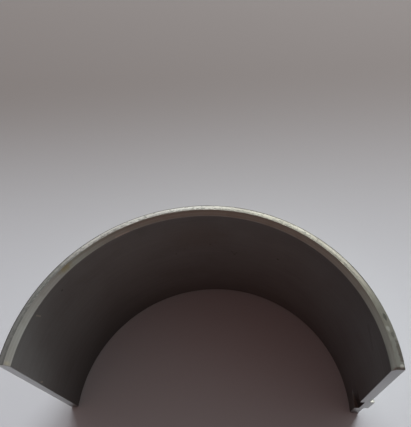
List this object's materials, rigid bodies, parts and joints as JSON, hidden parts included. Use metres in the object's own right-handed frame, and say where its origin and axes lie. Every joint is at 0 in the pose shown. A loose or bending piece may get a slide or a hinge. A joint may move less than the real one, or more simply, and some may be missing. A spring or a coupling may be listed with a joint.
{
  "type": "engine bearing shell",
  "caption": "Half-round plain bearing shell for an engine, with a smooth bore, bevelled bore edges, flat joint faces and a pressed locating tang.",
  "frame": {"origin": "on the bore's axis, in the plane of the joint faces, at half width", "axes": "+Z along the bore's axis, upwards as the shell stands on its lower end; +Y to the crown; the joint faces face -Y; the tang is at the +X joint face"},
  "size_m": [0.0863, 0.0425, 0.0414],
  "materials": {
    "shell_metal": "satin"
  },
  "bodies": {
    "root": {"bearing_shell": "shell_metal"}
  },
  "joints": []
}
